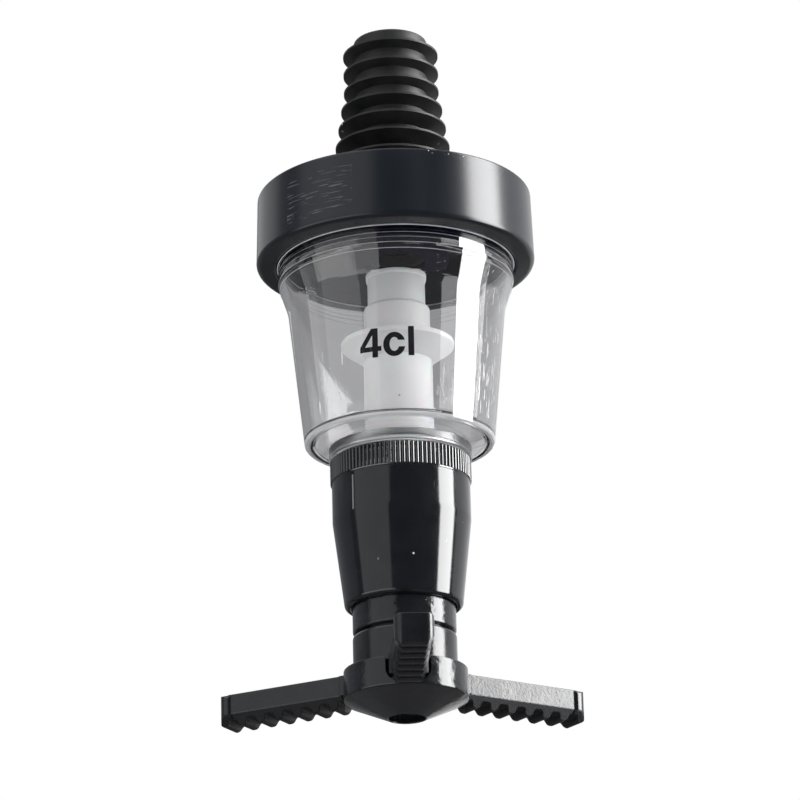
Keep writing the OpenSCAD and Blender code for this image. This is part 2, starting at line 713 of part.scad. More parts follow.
// Arm: heights and the run of the teeth along it
arm_top_z = cap_top_z;
bar_low_z = arm_top_z - bar_h;
tooth_root_z = bar_low_z - keel_h;
tooth_low_z = tooth_root_z - tooth_d;
keel_start_r = cap_low_r + 2 * run_gap;
arm_root_r = head_neck_r - cap_wall;
tooth_pitch = (arm_r - end_tooth_w - keel_start_r - tooth_gap) / tooth_count;
tip_share = 0.66;
tip_round_share = 0.3;
root_round_share = 0.25;

// Corners of tooth i, counted from the hub, as [radius, height, rounding]
function tooth_root(x) = [x, tooth_root_z, root_round_share * tooth_w];
function tooth_tip(x) = [x, tooth_low_z, tip_round_share * tooth_w];
function tooth_points(i) =
    let (mid = keel_start_r + tooth_gap + tooth_w / 2 + i * tooth_pitch)
    [tooth_root(mid - tooth_w / 2), tooth_tip(mid - tip_share * tooth_w / 2),
        tooth_tip(mid + tip_share * tooth_w / 2), tooth_root(mid + tooth_w / 2)];
end_tooth_points = [tooth_root(arm_r - end_tooth_w),
    tooth_tip(arm_r - end_tooth_w + (1 - tip_share) * tooth_w / 2), [arm_r, tooth_low_z, toe_r]];

// A prism along +X from one radius to another, with half its section given as [across, height, rounding]
module beam(from_r, to_r, half) {
    translate([from_r, 0, 0])
        rotate([90, 0, 90])
            linear_extrude(to_r - from_r)
                polygon(outline(concat(half,
                    [for (k = [len(half) - 1 : -1 : 0]) [-half[k].x, half[k].y, half[k].z]])));
}

// One arm along +X: bar with sloping flanks, root block and end plate, over the toothed keel
module arm() {
    plate_start_r = arm_r - plate_t - plate_rise;
    intersection() {
        rotate([90, 0, 0])
            linear_extrude(2 * plate_w, center = true)
                polygon(outline(concat([[arm_root_r, arm_top_z, 0], [arm_root_r, bar_low_z, 0],
                    [keel_start_r, bar_low_z, 0], [keel_start_r, tooth_root_z, 0]],
                    [for (i = [0 : tooth_count - 1]) each tooth_points(i)],
                    end_tooth_points, [[arm_r, arm_top_z, 0]])));
        union() {
            beam(arm_root_r, arm_r - plate_t,
                [[bar_w / 2, arm_top_z, 0], [bar_w / 2, bar_low_z, 0], [keel_w / 2, tooth_low_z, 0]]);
            beam(arm_root_r, cap_low_r + root_reach,
                [[plate_w / 2, arm_top_z, 0], [plate_w / 2, bar_low_z, 0]]);
            intersection() {
                beam(plate_start_r, arm_r, [[plate_w / 2, arm_top_z, plate_corner_r],
                    [plate_w / 2, arm_top_z - plate_h, plate_corner_r], [keel_w / 2, tooth_low_z, 0]]);
                translate([0, 0, tooth_low_z - over])
                    linear_extrude(arm_top_z - tooth_low_z + 2 * over)
                        polygon(outline([[plate_start_r, -bar_w / 2, 0], [arm_r - plate_t, -plate_w / 2, 0],
                            [arm_r, -plate_w / 2, plate_edge_r], [arm_r, plate_w / 2, plate_edge_r],
                            [arm_r - plate_t, plate_w / 2, 0], [plate_start_r, bar_w / 2, 0]]));
            }
        }
    }
}

// Spider: the head's neck and flange with the three arms, one moulding
module arm_spider() {
    flange_top_z = cap_top_z - seat_gap;
    flange_low_z = cap_top_z - slot_d + seat_gap;
    boss_way_r = socket_r + cap_boss_t;
    core_in_r = socket_r + cap_wall;
    core_out_r = head_neck_r - cap_wall;
    color("#1a1b1d")
    difference() {
        union() {
            turned([[socket_r, flange_low_z, 0], [flange_r, flange_low_z, 0], [flange_r, flange_top_z, 0],
                [head_neck_r, flange_top_z, 0], [head_neck_r, neck_top_z - groove_h, head_neck_edge_r],
                [head_neck_r - groove_d, neck_top_z - groove_h, 0], [head_neck_r - groove_d, neck_top_z, 0],
                [socket_r, neck_top_z, 0]]);
            for (i = [0 : arm_count - 1])
                rotate([0, 0, 360 * i / arm_count - 90])
                    arm();
        }
        translate([0, 0, flange_top_z])
            difference() {
                cylinder(h = neck_top_z - flange_top_z + over, r = core_out_r);
                cylinder(h = neck_top_z - flange_top_z + over, r = core_in_r);
            }
        translate([0, 0, flange_low_z - over])
            cylinder(h = over + cap_boss_t, r = boss_way_r);
    }
}

// Spout cap: cup with a shallow cone below, slots for the arms and the spout's mouth
module spout_cap() {
    floor_z = cap_top_z - slot_d;
    cap_boss_r = socket_r + cap_boss_t - run_gap;
    cone_share = cap_cone_h / (cap_low_r - mouth_r);
    floor_low_z = floor_z - (cap_in_r - cap_boss_r) * cone_share;
    boss_top_z = floor_z + cap_boss_t - seat_gap;
    color("#1a1b1d")
    difference() {
        turned([[mouth_r, mouth_z, run_gap * 4], [cap_low_r, cap_rim_z, cap_rim_r],
            [cap_top_r, cap_top_z, run_gap * 4], [cap_in_r, cap_top_z, 0], [cap_in_r, floor_z, 0],
            [cap_boss_r, floor_low_z, 0], [cap_boss_r, boss_top_z, 0], [socket_r, boss_top_z, 0],
            [socket_r, socket_z, 0], [mouth_r, socket_z, 0]]);
        for (i = [0 : arm_count - 1])
            rotate([0, 0, 360 * i / arm_count - 90])
                translate([cap_boss_r, 0, 0])
                    rotate([90, 0, 90])
                        linear_extrude(cap_low_r + over)
                            polygon(outline([[-slot_w / 2, floor_z, slot_edge_r],
                                [slot_w / 2, floor_z, slot_edge_r], [slot_w / 2, cap_top_z + over, 0],
                                [-slot_w / 2, cap_top_z + over, 0]]));
    }
}

// O-ring: seals the stem's end against the spout cap
module spout_o_ring() {
    color("#303030")
    translate([0, 0, socket_z + seat_gap + o_ring_r])
        rotate_extrude()
            translate([(socket_r + mouth_r) / 2, 0])
                circle(r = o_ring_r, $fn = 24);
}

bottle_cork();
lid();
lid_gasket();
inlet_seal();
inlet_seal_retainer();
measuring_bowl();
outlet_seal();
outlet_seal_retainer();
knurled_ring();
spring_housing();
return_spring();
thrust_washer();
slide_sleeve();
valve_stem();
inlet_piston();
baffle_disc();
vent_tube();
arm_spider();
spout_cap();
spout_o_ring();
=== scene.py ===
import math

import bmesh
import bpy
from mathutils import Matrix, Vector


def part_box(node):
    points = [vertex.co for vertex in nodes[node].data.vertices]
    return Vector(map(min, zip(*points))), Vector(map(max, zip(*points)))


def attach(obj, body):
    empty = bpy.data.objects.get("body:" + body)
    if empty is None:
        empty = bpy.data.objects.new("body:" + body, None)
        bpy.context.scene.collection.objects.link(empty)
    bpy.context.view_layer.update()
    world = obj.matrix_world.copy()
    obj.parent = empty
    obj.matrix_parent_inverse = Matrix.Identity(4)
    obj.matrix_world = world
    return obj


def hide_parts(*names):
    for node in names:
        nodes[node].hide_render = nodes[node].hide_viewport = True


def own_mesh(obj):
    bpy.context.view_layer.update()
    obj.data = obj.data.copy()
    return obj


mm = 0.001
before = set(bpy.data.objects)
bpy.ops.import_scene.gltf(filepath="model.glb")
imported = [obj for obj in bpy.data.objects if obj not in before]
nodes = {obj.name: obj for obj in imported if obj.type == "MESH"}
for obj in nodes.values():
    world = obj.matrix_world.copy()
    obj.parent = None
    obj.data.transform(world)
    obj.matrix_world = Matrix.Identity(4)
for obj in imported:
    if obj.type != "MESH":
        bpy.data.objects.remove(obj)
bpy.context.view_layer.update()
scene = bpy.context.scene
print("frame loaded:", len(nodes), "nodes")


# node trees

patterns = {"grainDetail": 4, "patchDetail": 2, "streakDetail": 3, "bumpDetail": 3, "noiseRoughness": 0.55,
            "grainRange": (0.32, 0.68), "bumpDepth": 0.05, "edgeSamples": 6}


def addNode(tree, kind, at=(0, 0), **values):
    node = tree.nodes.new(kind)
    node.location = at
    for key, value in values.items():
        setattr(node, key, value)
    return node


def beside(at, across, down=0):  # places in a tree's layout
    return (at[0] + across, at[1] - down)


def setInputs(node, values):
    for key, value in values.items():
        node.inputs[key].default_value = value


def feed(tree, source, socket):  # a fixed value or another node's output
    if isinstance(source, bpy.types.NodeSocket):
        tree.links.new(source, socket)
    else:
        socket.default_value = source


def calc(tree, operation, first, second=None, at=(0, 0), third=None):
    node = addNode(tree, "ShaderNodeMath", at, operation=operation)
    for socket, source in zip(node.inputs, (first, second, third)):
        if source is not None:
            feed(tree, source, socket)
    return node.outputs[0]


def axesOf(tree, coords, at):
    split = addNode(tree, "ShaderNodeSeparateXYZ", at)
    tree.links.new(coords, split.inputs[0])
    return split.outputs


def spread(tree, source, low, high, at, fromLow=0.3, fromHigh=0.7):
    node = addNode(tree, "ShaderNodeMapRange", at)
    setInputs(node, {"From Min": fromLow, "From Max": fromHigh, "To Min": low, "To Max": high})
    tree.links.new(source, node.inputs["Value"])
    return node.outputs["Result"]


def grey(value):
    return (value, value, value)


def ramp(tree, source, stops, at):
    node = addNode(tree, "ShaderNodeValToRGB", at)
    for element, (place, colour) in zip(node.color_ramp.elements, stops):
        element.position = place
        element.color = (*colour, 1)
    tree.links.new(source, node.inputs["Fac"])
    return node.outputs["Color"]


def mixColour(tree, factor, first, second, at):
    node = addNode(tree, "ShaderNodeMix", at, data_type="RGBA")
    tree.links.new(factor, node.inputs[0])
    tree.links.new(first, node.inputs[6])
    node.inputs[7].default_value = (*second, 1)
    return node.outputs[2]


def mixShaders(tree, share, first, second, at):
    node = addNode(tree, "ShaderNodeMixShader", at)
    for source, socket in zip((share, first, second), node.inputs):
        tree.links.new(source, socket)
    return node.outputs[0]


def noiseOf(tree, coords, scale, detail, at, stretch=(1, 1, 1)):
    mapping = addNode(tree, "ShaderNodeMapping", beside(at, -200))
    mapping.inputs["Scale"].default_value = stretch
    noise = addNode(tree, "ShaderNodeTexNoise", at)
    setInputs(noise, {"Scale": scale, "Detail": detail, "Roughness": patterns["noiseRoughness"]})
    tree.links.new(coords, mapping.inputs["Vector"])
    tree.links.new(mapping.outputs["Vector"], noise.inputs["Vector"])
    return noise.outputs["Fac"]


# marks on a surface, painted highlights and painted light among them: each function gives 1 where the mark is

softness = {"patch": 0.05, "streak": 0.02, "spot": 0.6}  # how gently a mark's edge fades


def boxMask(tree, coords, seam, at):  # a box, as middle and half size along x, y and z
    inside = None
    for k, (along, (middle, half)) in enumerate(zip(axesOf(tree, coords, at), seam["limits"])):
        near = calc(tree, "COMPARE", along, middle * mm, beside(at, 200, 150 * k), half * mm)
        inside = near if k == 0 else calc(tree, "MULTIPLY", inside, near, beside(at, 400, 150 * k))
    return inside


def farOut(tree, coords, at):  # distance from the axis
    along = axesOf(tree, coords, at)
    squares = [calc(tree, "POWER", along[k], 2.0, beside(at, 200, 150 * k)) for k in range(2)]
    return calc(tree, "SQRT", calc(tree, "ADD", *squares, beside(at, 400)), at=beside(at, 600))


def lightBandMask(tree, coords, ring, at):  # a band round the axis, where a pale colour is painted in as light seen through a clear piece
    height = axesOf(tree, coords, at)[2]
    level = calc(tree, "COMPARE", height, ring["level"] * mm, beside(at, 200, 200), ring["half"] * mm)
    reach = farOut(tree, coords, beside(at, -600))
    out = calc(tree, "GREATER_THAN", reach, ring["radius"] * mm, beside(at, 200))
    band = calc(tree, "MULTIPLY", out, level, beside(at, 400))
    return calc(tree, "MULTIPLY", band, ring["share"], beside(at, 600))


def patchMask(tree, coords, look, at):  # where dust or scratches gather
    where = noiseOf(tree, coords, look["patch"], patterns["patchDetail"], at)
    stops = [(look["place"], grey(0)), (look["place"] + softness["patch"], grey(1))]
    here = ramp(tree, where, stops, beside(at, 200))
    if "limits" in look:
        here = calc(tree, "MULTIPLY", here, boxMask(tree, coords, look, beside(at, 0, -250)), beside(at, 450))
    return here


def dustMask(tree, coords, dust, at):
    cells = addNode(tree, "ShaderNodeTexVoronoi", at)
    cells.inputs["Scale"].default_value = dust["scale"]
    tree.links.new(coords, cells.inputs["Vector"])
    stops = [(dust["size"] * softness["spot"], grey(1)), (dust["size"], grey(0))]
    spot = ramp(tree, cells.outputs["Distance"], stops, beside(at, 200))
    return calc(tree, "MULTIPLY", spot, patchMask(tree, coords, dust, beside(at, 0, -200)), beside(at, 700))


def scratchMask(tree, coords, lines, at):
    streak = noiseOf(tree, coords, lines["scale"], patterns["streakDetail"], at, lines["stretch"])
    stops = [(lines["least"], grey(0)), (lines["least"] + softness["streak"], grey(lines["share"]))]
    keen = ramp(tree, streak, stops, beside(at, 200))
    return calc(tree, "MULTIPLY", keen, patchMask(tree, coords, lines, beside(at, 0, 200)), beside(at, 700))


maskMakers = {"dust": dustMask, "scratches": scratchMask, "seamsAndHighlights": boxMask, "rings": lightBandMask}


# finishes

def marked(tree, coords, look, colour, shader):  # the base colour with its marks, painted highlights and painted light bands
    clear = None
    level = 700
    for kind, maskOf in maskMakers.items():
        for spots in look.get(kind, []):
            mask = maskOf(tree, coords, spots, (-1300, level))
            colour = mixColour(tree, mask, colour, spots["colour"], (100, level))
            if "Transmission Weight" in look.get("sockets", {}):  # a mark on a clear piece is opaque
                bare = calc(tree, "SUBTRACT", 1.0, mask, (-100, level))
                clear = bare if clear is None else calc(tree, "MULTIPLY", bare, clear, (100, level - 200))
            level -= 500
    if clear is not None:
        tree.links.new(clear, shader.inputs["Transmission Weight"])
    return colour


def shadeInside(tree, coords, inside, colour, rubbed, shader):  # the unlit side of a hollow piece
    near = calc(tree, "LESS_THAN", farOut(tree, coords, (-1700, 300)), inside["radius"] * mm)
    under = calc(tree, "LESS_THAN", axesOf(tree, coords, (-1300, 300))[2], inside["below"] * mm)
    hollow = calc(tree, "MULTIPLY", near, under, (-900, 300))
    colour = mixColour(tree, hollow, colour, inside["colour"], (300, 450))
    rubbed = calc(tree, "ADD", rubbed, calc(tree, "MULTIPLY", hollow, inside["rough"]), (150, 100))
    gloss = spread(tree, hollow, *inside["gloss"], (300, -150), 0, 1)
    tree.links.new(gloss, shader.inputs["Specular IOR Level"])
    return colour, rubbed


def frosted(tree, coords, frost, rubbed, shader):  # a blurred zone below a height
    along = axesOf(tree, coords, (-1300, 100))
    zone = spread(tree, along[2], frost["rough"], 0, (-900, 100), frost["low"] * mm, frost["high"] * mm)
    if "apart" in frost:  # only out along the side arms
        wide = calc(tree, "GREATER_THAN", calc(tree, "ABSOLUTE", along[0]), frost["apart"] * mm)
        zone = calc(tree, "MULTIPLY", zone, wide, (-700, 100))
    if "gloss" in frost:
        dull = spread(tree, zone, *frost["gloss"], (300, -150), 0, frost["rough"])
        tree.links.new(dull, shader.inputs["Specular IOR Level"])
    return calc(tree, "MAXIMUM", rubbed, zone, (150, 50))


def finishOf(name, look):
    material = bpy.data.materials.new(name)
    material.use_nodes = True
    tree = material.node_tree
    shader = tree.nodes["Principled BSDF"]
    shader.location = (500, 0)
    tree.nodes["Material Output"].location = (800, 0)
    setInputs(shader, look.get("sockets", {}))
    coords = addNode(tree, "ShaderNodeTexCoord", (-1500, 0)).outputs["Object"]
    grain = noiseOf(tree, coords, look["grain"], patterns["grainDetail"], (-700, 300))
    stops = zip(patterns["grainRange"], (look["dark"], look["light"]))
    colour = ramp(tree, grain, stops, (-450, 300))
    colour = marked(tree, coords, look, colour, shader)
    rubbed = spread(tree, grain, *look["rough"], (0, 100))
    if "inside" in look:
        colour, rubbed = shadeInside(tree, coords, look["inside"], colour, rubbed, shader)
    if "frost" in look:
        rubbed = frosted(tree, coords, look["frost"], rubbed, shader)
    tree.links.new(colour, shader.inputs["Base Color"])
    tree.links.new(rubbed, shader.inputs["Roughness"])
    stretch = look.get("bumpStretch", (1, 1, 1))
    wave = noiseOf(tree, coords, look["bumpScale"], patterns["bumpDetail"], (-700, -420), stretch)
    bump = addNode(tree, "ShaderNodeBump", (200, -350))
    setInputs(bump, {"Strength": look["bump"], "Distance": look.get("bumpDepth", patterns["bumpDepth"]) * mm})
    tree.links.new(wave, bump.inputs["Height"])
    if "edge" in look:  # softened edges that catch the light
        edge = addNode(tree, "ShaderNodeBevel", (0, -500), samples=patterns["edgeSamples"])
        edge.inputs["Radius"].default_value = look["edge"] * mm
        tree.links.new(edge.outputs["Normal"], bump.inputs["Normal"])
    tree.links.new(bump.outputs["Normal"], shader.inputs["Normal"])
    return material


# lengths in millimetres; a box of limits is middle and half size along x, y and z
finishes = {
    "corkRubber": {
        "dark": (0.0055, 0.0057, 0.006), "light": (0.013, 0.0134, 0.0138),
        "grain": 260, "rough": (0.46, 0.58), "bump": 0.5, "bumpScale": 900, "bumpDepth": 0.06,
        "sockets": {"Specular IOR Level": 0.32},
        "dust": [{"scale": 420, "size": 0.13, "patch": 90, "place": 0.6, "colour": (0.42, 0.42, 0.42)}]},
    "lidPlastic": {
        "dark": (0.0036, 0.0056, 0.0086), "light": (0.0048, 0.0072, 0.0108),
        "grain": 60, "rough": (0.235, 0.255), "bump": 0.2, "bumpScale": 900, "bumpDepth": 0.02, "edge": 0.25,
        "inside": {"radius": 24.8, "below": -1, "colour": (0.006, 0.006, 0.026), "rough": 0.5,
                   "gloss": (0.42, 0.06)},
        "scratches": [
            {"scale": 380, "stretch": (0.5, 0.5, 9), "least": 0.6, "patch": 100, "place": 0.42, "share": 0.6,
             "colour": (0.1, 0.105, 0.115), "limits": ((-16, 6.5), (-24, 12), (-7.5, 5))},
            {"scale": 500, "stretch": (1, 1, 1), "least": 0.72, "patch": 120, "place": 0.5, "share": 1,
             "colour": (0.14, 0.145, 0.155), "limits": ((2, 9), (-24, 12), (-8, 4))}],
        "dust": [
            {"scale": 1100, "size": 0.16, "patch": 300, "place": 0.5,
             "colour": (0.6, 0.6, 0.6), "limits": ((9, 5), (-24, 12), (-0.6, 1.1))},
            {"scale": 300, "size": 0.08, "patch": 60, "place": 0.62, "colour": (0.3, 0.3, 0.3)}]},
    "innerPlastic": {
        "dark": (0.0042, 0.0042, 0.018), "light": (0.006, 0.006, 0.024),
        "grain": 200, "rough": (0.7, 0.8), "bump": 0.3, "bumpScale": 420, "bumpDepth": 0.02,
        "sockets": {"Specular IOR Level": 0.06}},
    "headPlastic": {
        "dark": (0.005, 0.0054, 0.0066), "light": (0.0074, 0.0081, 0.0098),
        "grain": 200, "rough": (0.09, 0.13), "bump": 0.3, "bumpScale": 420, "bumpDepth": 0.025, "edge": 0.16,
        "scratches": [
            {"scale": 240, "stretch": (3, 3, 0.25), "least": 0.67, "patch": 130, "place": 0.56, "share": 1,
             "colour": (0.1, 0.1, 0.105)}],
        "dust": [{"scale": 620, "size": 0.09, "patch": 90, "place": 0.62, "colour": (0.4, 0.4, 0.4)}],
        "seamsAndHighlights": [
            # a painted highlight: the thin light line down the housing's left side
            {"limits": ((-10.1, 0.13), (-8, 8), (-66.6, 3.6)), "colour": (0.16, 0.165, 0.17)},
            {"limits": ((1.55, 0.16), (-14, 5), (-80.5, 0.16)), "colour": (0.7, 0.7, 0.7)}]},
    "ringPlastic": {
        "dark": (0.004, 0.0044, 0.0054), "light": (0.006, 0.0066, 0.008),
        "grain": 300, "rough": (0.12, 0.16), "bump": 0.3, "bumpScale": 700, "bumpDepth": 0.02,
        "sockets": {"Specular IOR Level": 0.85, "IOR": 1.62}},
    "capPlastic": {
        "dark": (0.005, 0.0054, 0.0066), "light": (0.0074, 0.0081, 0.0098),
        "grain": 200, "rough": (0.1, 0.2), "bump": 1.0, "bumpScale": 750, "bumpDepth": 0.09, "edge": 0.2,
        "dust": [{"scale": 700, "size": 0.1, "patch": 120, "place": 0.64, "colour": (0.4, 0.4, 0.4)}]},
    "armPlastic": {
        "dark": (0.005, 0.0054, 0.0064), "light": (0.0076, 0.0082, 0.0097),
        "grain": 260, "rough": (0.12, 0.24), "bump": 0.8, "bumpScale": 1500, "bumpDepth": 0.032, "edge": 0.35,
        "frost": {"low": -105.2, "high": -105.0, "rough": 0.45, "gloss": (0.5, 0.2), "apart": 12},
        "dust": [{"scale": 800, "size": 0.09, "patch": 120, "place": 0.66, "colour": (0.35, 0.35, 0.35)}]},
    "stemPlastic": {
        "dark": (0.82, 0.825, 0.815), "light": (0.88, 0.885, 0.875),
        "grain": 150, "rough": (0.3, 0.42), "bump": 0.2, "bumpScale": 500, "bumpDepth": 0.03,
        "sockets": {"Subsurface Weight": 0.25, "Subsurface Scale": 0.002},
        "seamsAndHighlights": [{"limits": ((-0.2, 0.14), (-7, 1), (-45.5, 0.14)), "colour": (0.05, 0.05, 0.05)}]},
    "sealRubber": {
        "dark": (0.02, 0.02, 0.021), "light": (0.035, 0.035, 0.036),
        "grain": 400, "rough": (0.5, 0.65), "bump": 0.4, "bumpScale": 1200},
    "valveRubber": {
        "dark": (0.42, 0.44, 0.46), "light": (0.5, 0.52, 0.54),
        "grain": 300, "rough": (0.4, 0.55), "bump": 0.3, "bumpScale": 900},
    "springSteel": {
        "dark": (0.42, 0.42, 0.43), "light": (0.62, 0.62, 0.63),
        "grain": 500, "rough": (0.22, 0.34), "bump": 0.3, "bumpScale": 1600, "bumpStretch": (1, 1, 6),
        "sockets": {"Metallic": 1.0}},
    "bowlClear": {
        "dark": (0.955, 0.955, 0.968), "light": (0.972, 0.972, 0.985),
        "grain": 80, "rough": (0.0, 0.02), "bump": 0.08, "bumpScale": 120, "bumpDepth": 0.05,
        "sockets": {"Transmission Weight": 1.0, "IOR": 1.56},
        "frost": {"low": -54.9, "high": -54.3, "rough": 0.3},
        "scratches": [
            {"scale": 1700, "stretch": (1, 1, 0.03), "least": 0.62, "patch": 150, "place": 0.45, "share": 0.6,
             "colour": (0.4, 0.4, 0.43), "limits": ((16.8, 3.2), (-12, 12), (-32, 13))},
            {"scale": 1300, "stretch": (1, 1, 0.09), "least": 0.59, "patch": 180, "place": 0.4, "share": 0.5,
             "colour": (0.45, 0.45, 0.47), "limits": ((8.4, 1.7), (-20, 8), (-46.5, 4))},
            {"scale": 1500, "stretch": (1, 1, 0.04), "least": 0.63, "patch": 120, "place": 0.42, "share": 0.5,
             "colour": (0.8, 0.8, 0.82), "limits": ((-13.5, 3), (-18, 9), (-45, 7))},
            {"scale": 1600, "stretch": (1, 1, 0.03), "least": 0.6, "patch": 160, "place": 0.42, "share": 0.8,
             "colour": (0.9, 0.9, 0.9), "limits": ((15.8, 2), (-12, 12), (-43, 8))}],
        # a painted light band: a pale ring on the foot that stands for the light coming through it
        "rings": [{"radius": 18.2, "level": -53.4, "half": 0.45, "share": 0.5, "colour": (0.55, 0.55, 0.58)}],
        "dust": [
            {"scale": 1300, "size": 0.14, "patch": 500, "place": 0.5,
             "colour": (0.85, 0.85, 0.85), "limits": ((8.6, 1.3), (-22, 8), (-27, 7))}]},
    # painted highlight: pale rings for the light on the clear bowl's edges
    "bowlHighlightLine": {
        "dark": (0.5, 0.5, 0.54), "light": (0.66, 0.66, 0.7),
        "grain": 300, "rough": (0.2, 0.3), "bump": 0.2, "bumpScale": 700},
    # painted shade: a dark violet ring for the dark line where the foot's rounded edge bends the light
    "bowlShade": {
        "dark": (0.16, 0.155, 0.2), "light": (0.24, 0.235, 0.29),
        "grain": 300, "rough": (0.2, 0.3), "bump": 0.2, "bumpScale": 700},
    "markInk": {
        "dark": (0.004, 0.004, 0.0045), "light": (0.01, 0.01, 0.011),
        "grain": 900, "rough": (0.5, 0.6), "bump": 0.2, "bumpScale": 1500,
        "sockets": {"Specular IOR Level": 0.12}},
}
materials = {name: finishOf(name, look) for name, look in finishes.items()}
finishNodes = {
    "corkRubber": ["bottle_cork"],
    "lidPlastic": ["lid"],
    "innerPlastic": ["inlet_seal_retainer"],
    "headPlastic": ["outlet_seal_retainer", "spring_housing"],
    "ringPlastic": ["knurled_ring"],
    "capPlastic": ["slide_sleeve", "spout_cap"],
    "armPlastic": ["arm_spider"],
    "stemPlastic": ["valve_stem", "inlet_piston", "baffle_disc"],
    "sealRubber": ["lid_gasket", "inlet_seal", "spout_o_ring"],
    "valveRubber": ["outlet_seal"],
    "springSteel": ["return_spring", "thrust_washer", "vent_tube"],
    "bowlClear": ["measuring_bowl"],
}
for finish, nodeNames in finishNodes.items():
    for nodeName in nodeNames:
        nodes[nodeName].data.materials.clear()
        nodes[nodeName].data.materials.append(materials[finish])
print("finishes made:", len(materials))


# meshes

def addMesh(name, mesh, finish):
    piece = bpy.data.objects.new(name, mesh)
    scene.collection.objects.link(piece)
    mesh.materials.clear()
    mesh.materials.append(materials[finish])
    return piece


def smoothed(piece):
    for face in piece.data.polygons:
        face.use_smooth = True


def plainMesh(holder):  # the evaluated shape, without its modifier or curve
    bpy.context.view_layer.update()
    mesh = bpy.data.meshes.new_from_object(holder.evaluated_get(bpy.context.evaluated_depsgraph_get()))
    bpy.data.objects.remove(holder)
    return mesh


def turnedMesh(name, corners, steps):  # a closed section turned round the axis
    shape = bmesh.new()
    loops = []
    for k in range(steps):
        turn = 2 * math.pi * k / steps
        loops.append([shape.verts.new((r * math.cos(turn), r * math.sin(turn), z)) for r, z in corners])
    for k in range(steps):
        here, ahead = loops[k], loops[(k + 1) % steps]
        for n in range(len(corners)):
            m = (n + 1) % len(corners)
            shape.faces.new((here[n], ahead[n], ahead[m], here[m]))
    mesh = bpy.data.meshes.new(name)
    bmesh.ops.recalc_face_normals(shape, faces=shape.faces[:])
    shape.to_mesh(mesh)
    shape.free()
    return mesh


# geometry trees

def newTree(name, sizes):  # one named input for each size
    tree = bpy.data.node_groups.new(name, "GeometryNodeTree")
    tree.interface.new_socket("Geometry", in_out="INPUT", socket_type="NodeSocketGeometry")
    tree.interface.new_socket("Geometry", in_out="OUTPUT", socket_type="NodeSocketGeometry")
    for key, value in sizes.items():
        kind = "NodeSocketInt" if isinstance(value, int) else "NodeSocketFloat"
        tree.interface.new_socket(key, in_out="INPUT", socket_type=kind).default_value = value
    return tree, addNode(tree, "NodeGroupInput", (-1400, 0)).outputs


def endTree(tree, source, finish):
    realize = addNode(tree, "GeometryNodeRealizeInstances", (600, 200))
    paint = addNode(tree, "GeometryNodeSetMaterial", (1000, 200))
    paint.inputs["Material"].default_value = materials[finish]
    result = addNode(tree, "NodeGroupOutput", (1400, 0))
    tree.links.new(source, realize.inputs["Geometry"])
    tree.links.new(realize.outputs["Geometry"], paint.inputs["Geometry"])
    tree.links.new(paint.outputs["Geometry"], result.inputs["Geometry"])
    return tree


def applied(name, base, tree, sizes, finish, body):
    holder = addMesh(name + "Base", base, finish)
    modifier = holder.modifiers.new("shape", "NODES")
    modifier.node_group = tree
    for item in tree.interface.items_tree:
        if item.in_out == "INPUT" and item.name in sizes:
            modifier[item.identifier] = sizes[item.name]
    piece = addMesh(name, plainMesh(holder), finish)
    smoothed(piece)
    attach(piece, body)
    return piece


# spring

springLow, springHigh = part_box("return_spring")
springSizes = {"Wire radius": 0.45 * mm, "Mean radius": 8.1 * mm, "Open turns": 7.0, "End pitch": 1.45 * mm,
               "Low height": springLow.z, "High height": springHigh.z}
springMesh = {"stepsPerTurn": 40, "wireSides": 12}


